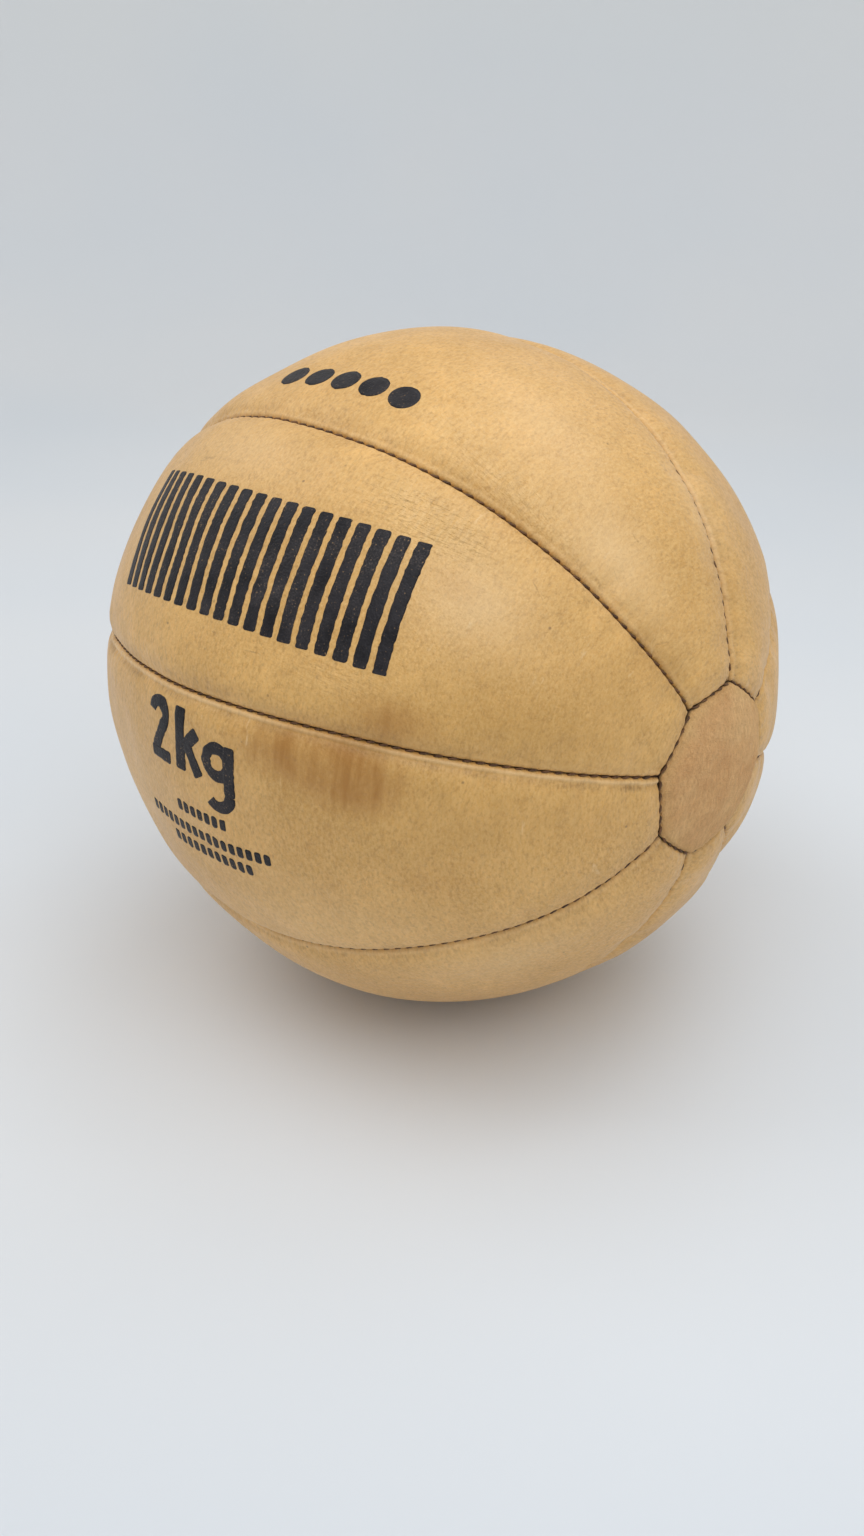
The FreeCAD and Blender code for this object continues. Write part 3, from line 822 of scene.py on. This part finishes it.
BAND = dict(panel=4, turn=63.5, polar=112.8)
BAND_BARS, BAND_STEP, BAND_SLANT, BAND_HEIGHT, BAND_WIDTH = 19, 6.9, 3.5, 45, 4.7
DOTS = dict(panel=5, turn=21, polar=102)
DOT_COUNT, DOT_STEP, DOT_RADIUS = 5, 13.5, 5.6
ROWS = dict(panel=3, turn=94.2, polar=102)
ROW_BLOCKS = ((21.204, 0, 7), (0, -9.553, 17), (14.136, -16.776, 11))  # first x, y, count
BLOCK_STEP, BLOCK_LENGTH, BLOCK_HEIGHT = 3.9, 2.7, 4.6
WEIGHT = dict(panel=3, turn=87.6, polar=98.8)


def make_prints(ink):
    bars = [bar(BAND_STEP * i, 0, BAND_STEP * i - BAND_SLANT, BAND_HEIGHT, BAND_WIDTH)
            for i in range(BAND_BARS)]
    make_print("printed_band", **BAND, strokes=bars, material=ink)
    dots = [dot(DOT_STEP * i, 0, DOT_RADIUS) for i in range(DOT_COUNT)]
    make_print("printed_dots", **DOTS, strokes=dots, material=ink)
    blocks = []
    for first, y, count in ROW_BLOCKS:
        for i in range(count):
            x = first + BLOCK_STEP * i
            blocks.append(bar(x, y, x + BLOCK_LENGTH, y, BLOCK_HEIGHT))
    make_print("printed_rows", **ROWS, strokes=blocks, material=ink)
    weight = [
        arc(6, 17.5, 4.4, 175, -40, 4.6),
        bar(9.6, 15.3, 2.2, 2.4, 4.5),
        bar(0, 1.9, 12.4, 1.9, 4.5),
        bar(18.6, 0, 18.6, 23.5, 5.2),
        bar(20.0, 8.8, 28.0, 16.6, 4.6),
        bar(22.4, 10.8, 28.6, 0.3, 4.8),
        arc(38, 8.9, 5.2, 0, 360, 4.5),
        bar(43.3, 15.8, 43.3, -3.0, 4.9),
        arc(38, -3.0, 5.3, 0, -140, 4.5),
    ]
    make_print("printed_weight", **WEIGHT, strokes=weight, material=ink)


# Materials


def node(tree, kind, inputs=None, **settings):
    """A shader node with its settings, and its inputs set to a number, a colour or a link."""
    made = tree.nodes.new("ShaderNode" + kind)
    for name, setting in settings.items():
        setattr(made, name, setting)
    for name, given in (inputs or {}).items():
        if isinstance(given, bpy.types.NodeSocket):
            tree.links.new(given, made.inputs[name])
        else:
            made.inputs[name].default_value = given
    return made


def new_material(name):
    """A material, its node tree, and a socket for places on the piece."""
    material = bpy.data.materials.new(name)
    material.use_nodes = True
    tree = material.node_tree
    tree.nodes.clear()
    return material, tree, node(tree, "TexCoord").outputs["Object"]


def surface(tree, inputs):
    shader = node(tree, "BsdfPrincipled", inputs)
    node(tree, "OutputMaterial", {"Surface": shader.outputs[0]})


# A helper that is given a socket adds its nodes to the socket's own tree, its id_data.


def rescale(value, low, high, to_low=0.0, to_high=1.0):
    made = node(value.id_data, "MapRange", {
        "Value": value, "From Min": low, "From Max": high, "To Min": to_low, "To Max": to_high})
    return made.outputs[0]


def noise(where, size, detail=3.0, rough=0.55, low=0.35, high=0.65):
    """Noise with features of this size in millimetres, spread to run from 0 to 1."""
    texture = node(where.id_data, "TexNoise", {
        "Vector": where, "Scale": 1 / (size * MM), "Detail": detail, "Roughness": rough})
    return rescale(texture.outputs[0], low, high)


def stretched(where, scale, turn=(0, 0, 0)):
    return node(where.id_data, "Mapping", {
        "Vector": where, "Scale": scale, "Rotation": turn}).outputs[0]


def times(first, second):
    return node(first.id_data, "Math", {0: first, 1: second}, operation="MULTIPLY").outputs[0]


def mix(share, first, second):
    """Mix two colours by a share from 0 to 1."""
    made = node(share.id_data, "Mix", {0: share, 6: first, 7: second}, data_type="RGBA")
    return made.outputs[2]


def coats(colour, *given):
    """Lay coats over a colour, each a pattern from 0 to 1, its strength and its own colour."""
    for pattern, strength, tint in given:
        colour = mix(times(pattern, strength), colour, tint)
    return colour


def attribute(tree, name, output="Fac"):
    return node(tree, "Attribute", attribute_name=name).outputs[output]


def srgb(red, green, blue):
    """A colour given as it looks, from 0 to 255, in linear light."""
    linear = [c / 255 / 12.92 if c <= 10 else ((c / 255 + 0.055) / 1.055) ** 2.4
              for c in (red, green, blue)]
    return (*linear, 1.0)


def bump(height, depth, normal=None):
    """A bumped normal, over another one where it is given."""
    inputs = {"Height": height, "Distance": depth * MM, "Strength": 1.0}
    if normal is not None:
        inputs["Normal"] = normal
    return node(height.id_data, "Bump", inputs).outputs[0]


def leather_material():
    """Smooth vegetable-tanned leather, gone honey-coloured, with pores, stains and creases, and
    painted sheen, highlights and shade.
    """
    material, tree, where = new_material("panel_leather")
    run = attribute(tree, "run", "Vector")
    broad = noise(where, 45, detail=3)
    mottle = noise(where, 13, detail=4)
    cloud = noise(stretched(run, (1, 0.6, 1)), 5, detail=4, rough=0.6)
    fibre = noise(stretched(run, (1, 0.36, 1)), 1.3, detail=3, rough=0.6)
    grain = node(tree, "TexVoronoi", {"Vector": where, "Scale": 1 / (0.9 * MM)})
    cells = rescale(grain.outputs["Distance"], 0.1, 0.6)

    flecks = noise(stretched(run, (1, 0.5, 1)), 0.8, detail=2, low=0.38, high=0.7)
    pores = noise(stretched(run, (1, 0.6, 1)), 1.1, detail=3, low=0.5, high=0.72)
    colour = coats(
        mix(broad, srgb(208, 153, 72), srgb(237, 181, 99)),
        (mottle, 0.42, srgb(200, 150, 70)),
        (cloud, 0.3, srgb(196, 143, 64)),
        (fibre, 0.26, srgb(172, 124, 58)),
        (cells, 0.16, srgb(240, 198, 132)),
        (flecks, 0.36, srgb(243, 202, 134)),
        (pores, 0.4, srgb(160, 112, 50)),
    )

    streaks = noise(stretched(run, (1, 0.12, 1)), 3.2, detail=3, rough=0.6)
    crossing = noise(stretched(run, (1, 0.2, 1)), 1.6, 3, 0.5, 0.3, 0.7)
    # Lighter patches and lips: wear, with painted sheen and painted highlights where the leather
    # faces the lamps.
    rubbed_and_sheen = times(attribute(tree, "rubbed_and_sheen"), rescale(mottle, 0, 1, 0.7, 1.0))
    # Darker patches: oil, with painted shade where the leather faces away from the lamps.
    oiled_and_shaded = times(attribute(tree, "oiled_and_shaded"), rescale(cloud, 0, 1, 0.6, 1.0))
    stain = rescale(attribute(tree, "stain"), 0.12, 0.75)
    stain = times(stain, rescale(streaks, 0, 1, 0.55, 1.1))
    dirt = times(attribute(tree, "grime"), rescale(pores, 0, 1, 0.65, 1.3))
    groove = rescale(attribute(tree, "sunk"), 2.3, 3.6)
    speck = node(tree, "TexVoronoi", {"Vector": where, "Scale": 1 / (9 * MM)})
    specks = rescale(speck.outputs["Distance"], 0.035, 0.08, 1.0, 0.0)
    specks = times(specks, noise(where, 17, low=0.52, high=0.6))
    colour = coats(
        colour,
        (rubbed_and_sheen, 0.6, srgb(250, 212, 158)),
        (oiled_and_shaded, 0.5, srgb(190, 142, 68)),
        (stain, 0.85, srgb(172, 116, 42)),
        (dirt, 1.0, srgb(138, 100, 46)),
        (groove, 1.0, srgb(96, 62, 36)),
        (specks, 0.55, srgb(92, 60, 32)),
    )
    for scale, turn, low, tint in (
            ((1, 7, 1), (0.4, 0.2, 0.7), 0.66, srgb(132, 92, 50)),
            ((6, 1, 1), (0.1, 0.9, 0.3), 0.66, srgb(240, 210, 162)),
            ((1, 1, 8), (0.8, 0.1, 1.3), 0.68, srgb(110, 74, 40))):
        scratches = noise(stretched(where, scale, turn), 28, 5, 0.75, low, low + 0.06)
        colour = coats(colour, (scratches, 0.35, tint))
    creased = attribute(tree, "creased")
    # The ridges of the wrinkles are painted lighter: painted highlights where they catch the
    # light.
    lit_wrinkle_ridges = times(creased, crossing)
    colour = coats(
        colour,
        (lit_wrinkle_ridges, 0.35, srgb(244, 204, 144)),
        (attribute(tree, "back"), 1.0, srgb(170, 128, 84)),
    )

    wrinkle = noise(stretched(where, (1, 2.2, 1), (0.3, 0.5, 0.8)), 5, 4, 0.6, 0.2, 0.8)
    lines = noise(stretched(run, (1, 4, 1)), 6.5, 3, 0.55, 0.3, 0.7)
    normal = bump(wrinkle, 0.2)
    normal = bump(times(creased, lines), 0.6, normal)
    normal = bump(lit_wrinkle_ridges, 0.28, normal)
    normal = bump(noise(where, 1.6), 0.07, normal)
    normal = bump(cells, 0.045, normal)
    surface(tree, {
        "Base Color": colour, "Roughness": rescale(mottle, 0, 1, 0.43, 0.53),
        "Specular IOR Level": 0.6, "Sheen Weight": 0.1, "Sheen Roughness": 0.5,
        "Normal": normal})
    return material


def cap_leather_material():
    """The flesh side of the leather: suede, browner and rougher than the gores."""
    material, tree, where = new_material("cap_leather")
    broad = noise(where, 22, detail=3)
    nap = noise(stretched(where, (1, 1, 0.4), (0.5, 0, 0)), 1.2, detail=4, rough=0.75)
    fine = noise(where, 0.6, detail=2)
    colour = mix(broad, srgb(220, 162, 104), srgb(244, 197, 135))
    # At the cap's rim this mask is wear alone, with no painted sheen.
    rubbed_and_sheen = rescale(attribute(tree, "rim"), 1.0, 5.0, 0.35, 0.0)
    groove = rescale(attribute(tree, "sunk"), 1.75, 3.0)
    colour = coats(
        colour,
        (nap, 0.62, srgb(178, 123, 72)),
        (fine, 0.25, srgb(238, 198, 146)),
        (rubbed_and_sheen, 1.0, srgb(212, 172, 110)),
        (groove, 1.0, srgb(58, 36, 20)),
    )
    surface(tree, {
        "Base Color": colour, "Roughness": 0.8, "Specular IOR Level": 0.25,
        "Sheen Weight": 0.35, "Sheen Roughness": 0.45, "Sheen Tint": srgb(240, 205, 150),
        "Normal": bump(fine, 0.1, bump(nap, 0.3))})
    return material


def canvas_material():
    """Plain-woven cotton canvas."""
    material, tree, where = new_material("canvas")
    waves = [node(tree, "TexWave", {"Vector": where, "Scale": 1 / (5 * MM), "Distortion": 1.2},
                  bands_direction=direction).outputs["Fac"] for direction in ("X", "Y", "Z")]
    weave = times(times(waves[0], waves[1]), waves[2])
    colour = mix(noise(where, 8), srgb(214, 202, 176), srgb(196, 182, 152))
    colour = mix(rescale(weave, 0, 0.5, 0.5, 0.0), colour, srgb(158, 144, 114))
    normal = bump(weave, 0.2)
    surface(tree, {"Base Color": colour, "Roughness": 0.9, "Normal": normal})
    return material


def hair_material():
    """Felted animal hair."""
    material, tree, where = new_material("hair")
    strands = noise(stretched(where, (1, 6, 1), (0.5, 0.4, 0.9)), 5, 5, 0.7)
    others = noise(stretched(where, (6, 1, 1), (0.2, 0.7, 0.1)), 5, 5, 0.7)
    colour = mix(strands, srgb(92, 72, 54), srgb(150, 126, 98))
    colour = mix(times(others, 0.5), colour, srgb(60, 46, 36))
    normal = bump(others, 0.4, bump(strands, 0.4))
    surface(tree, {"Base Color": colour, "Roughness": 0.85, "Normal": normal})
    return material


def thread_material(name, light, dark):
    """Waxed linen thread, which has taken up dirt."""
    material, tree, where = new_material(name)
    colour = mix(noise(where, 6, detail=4), dark, light)
    fibres = noise(stretched(where, (1, 3, 1), (0.3, 0.4, 0.2)), 0.3, detail=2)
    normal = bump(fibres, 0.05)
    surface(tree, {"Base Color": colour, "Roughness": 0.6, "Normal": normal})
    return material


def ink_material():
    """Black stencil ink, rubbed thin over the grain of the leather."""
    material, tree, where = new_material("stencil_ink")
    grain = node(tree, "TexVoronoi", {"Vector": where, "Scale": 1 / (0.9 * MM)})
    cells = rescale(grain.outputs["Distance"], 0.15, 0.6)
    worn = noise(where, 16, detail=3, low=0.42, high=0.7)
    fine = noise(where, 0.7, detail=3, low=0.45, high=0.7)
    colour = mix(noise(where, 9), srgb(26, 24, 27), srgb(42, 39, 42))
    faded = times(worn, rescale(fine, 0, 1, 0.2, 0.9))
    colour = mix(faded, colour, srgb(84, 77, 75))
    bare = times(rescale(fine, 0.82, 1.0), rescale(worn, 0, 1, 0.25, 1))
    colour = mix(bare, colour, srgb(170, 132, 84))
    surface(tree, {
        "Base Color": colour, "Roughness": rescale(worn, 0, 1, 0.42, 0.62),
        "Specular IOR Level": 0.2,
        "Normal": bump(cells, 0.05, bump(noise(where, 1.6), 0.07))})
    return material


panel_leather, cap_leather = leather_material(), cap_leather_material()
canvas = canvas_material()
sewing_thread = thread_material("sewing_thread", srgb(118, 80, 46), srgb(78, 52, 30))
closing_thread = thread_material("closing_thread", srgb(150, 112, 70), srgb(96, 66, 40))
for panel in range(1, PANELS + 1):
    make_panel(panel, panel_leather)
    make_lining(panel, canvas)
for side, name in ((1, "right"), (-1, "left")):
    make_cap(side, name, cap_leather)
    make_cap_lining(side, name, canvas)
make_filling(hair_material())
make_stitches(sewing_thread, closing_thread)
make_prints(ink_material())

# The stage, the light and the camera

STAGE_FLOOR = 1.1  # metres
STAGE_BEND = 0.7
STAGE_HEIGHT = 1.0
STAGE_SIDES = 96
STAGE_STEPS = 12
SHADED_WAY = (sin(radians(42)), -cos(radians(42)), 0)  # to where the floor is painted greyer, as painted shade
SHADED_FROM, SHADED_TO = 0.15, 0.5
PALE_FROM, PALE_TO = 0.25, 0.8  # heights between which the wall is painted paler, as painted light


def make_stage():
    """A round studio cove: a floor that curves up into a wall on every side."""
    profile = [(STAGE_FLOOR / 2, 0.0), (STAGE_FLOOR, 0.0)]
    for step in range(1, STAGE_STEPS + 1):
        angle = step / STAGE_STEPS * pi / 2
        profile.append((STAGE_FLOOR + STAGE_BEND * sin(angle), STAGE_BEND * (1 - cos(angle))))
    profile.append((STAGE_FLOOR + STAGE_BEND, STAGE_HEIGHT))
    angles = np.arange(STAGE_SIDES) * WAVE / STAGE_SIDES
    rings = [np.stack([r * np.cos(angles), r * np.sin(angles), np.full(STAGE_SIDES, z)], axis=-1)
             for r, z in profile]
    points = np.vstack(rings + [np.zeros((1, 3))])
    faces = grid_faces(len(profile), STAGE_SIDES, ring=True)
    stage = make_mesh("stage", points, faces + fan_faces(0, STAGE_SIDES, len(points) - 1))
    material, tree, where = new_material("stage_paper")
    paper = mix(noise(where, 400, detail=1), srgb(228, 232, 236), srgb(232, 234, 236))
    # Painted shade: the floor is greyer towards the camera.
    ahead = node(tree, "VectorMath", {0: where, 1: SHADED_WAY}, operation="DOT_PRODUCT")
    shaded = rescale(ahead.outputs["Value"], SHADED_FROM, SHADED_TO)
    paper = mix(shaded, paper, srgb(208, 214, 221))
    # Painted light: the wall is paler higher up.
    height = node(tree, "SeparateXYZ", {0: where}).outputs["Z"]
    paper = mix(rescale(height, PALE_FROM, PALE_TO), paper, srgb(240, 240, 236))
    surface(tree, {"Base Color": paper, "Roughness": 0.75, "Specular IOR Level": 0.2})
    stage.data.materials.append(material)


def seen_from(azimuth, elevation, distance):
    """A place this many metres from the ball's centre, and the way there. The azimuth goes from
    the front towards the right."""
    level = cos(radians(elevation))
    away = Vector((sin(radians(azimuth)) * level, -cos(radians(azimuth)) * level,
                   sin(radians(elevation))))
    return Vector((0, 0, CENTRE_HEIGHT * MM)) + away * distance, away


DAYLIGHT = (0.88, 0.94, 1.0)
# (name, azimuth, elevation, metres away, metres wide, watts)
LAMPS = [
    ("near_lamp", 60, 60, 0.8, 0.8, 3.0),
    ("left_lamp", -60, 50, 1.7, 1.1, 5.8),
    ("right_lamp", 95, 12, 1.3, 0.9, 1.0),
    ("back_lamp", 180, 60, 1.7, 1.1, 4.5),
]


def make_lamps():
    """Square lamps that face the ball."""
    for name, azimuth, elevation, distance, size, power in LAMPS:
        data = bpy.data.lights.new(name, "AREA")
        data.shape = "SQUARE"
        data.size = size
        data.energy = power
        data.color = DAYLIGHT
        lamp = bpy.data.objects.new(name, data)
        lamp.location, away = seen_from(azimuth, elevation, distance)
        lamp.rotation_euler = away.to_track_quat("Z", "Y").to_euler()
        bpy.context.collection.objects.link(lamp)


CAMERA_AZIMUTH = 41.7
CAMERA_ELEVATION = 23.2
CAMERA_DISTANCE = 4.314  # ball radii
CAMERA_HEADING = 42.07
CAMERA_PITCH = 27.06  # down from level
LENS = 32.8
SENSOR = 36.0


def make_camera():
    data = bpy.data.cameras.new("camera")
    data.sensor_fit = "VERTICAL"
    data.sensor_height = SENSOR
    data.lens = LENS
    camera = bpy.data.objects.new("camera", data)
    distance = CAMERA_DISTANCE * RADIUS * MM
    camera.location, _ = seen_from(CAMERA_AZIMUTH, CAMERA_ELEVATION, distance)
    camera.rotation_euler = Euler((radians(90 - CAMERA_PITCH), 0, radians(CAMERA_HEADING)))
    bpy.context.collection.objects.link(camera)
    bpy.context.scene.camera = camera


SKY = (0.526, 0.515, 0.505, 1.0)


def make_world():
    world = bpy.data.worlds.new("sky")
    world.use_nodes = True
    background = world.node_tree.nodes["Background"]
    background.inputs["Color"].default_value = SKY
    background.inputs["Strength"].default_value = 1.0
    bpy.context.scene.world = world


make_stage()
make_world()
make_lamps()
make_camera()
bpy.context.scene.view_settings.view_transform = "Standard"
